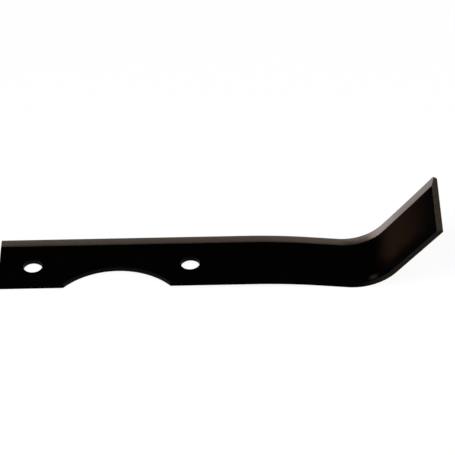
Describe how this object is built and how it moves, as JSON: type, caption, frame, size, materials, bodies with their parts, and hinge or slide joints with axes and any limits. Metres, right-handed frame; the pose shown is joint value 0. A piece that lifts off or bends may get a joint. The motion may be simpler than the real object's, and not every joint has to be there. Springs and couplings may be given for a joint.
{
  "type": "rotary tiller blade",
  "caption": "Flat steel tiller blade with bolt holes, a hub notch in one edge, a ground cutting edge along the other and a tip turned up at a skewed bend.",
  "frame": {"origin": "on the seating face (the under face), midway between the two bolt holes and on the bar's centre line", "axes": "+X along the bar towards the upturned tip, +Y across the bar towards the ground cutting edge, +Z out of the upper face, on the side that the tip turns to"},
  "size_m": [0.3149, 0.0537, 0.0606],
  "materials": {
    "black_paint": "satin"
  },
  "bodies": {
    "root": {"blade": "black_paint"}
  },
  "joints": []
}
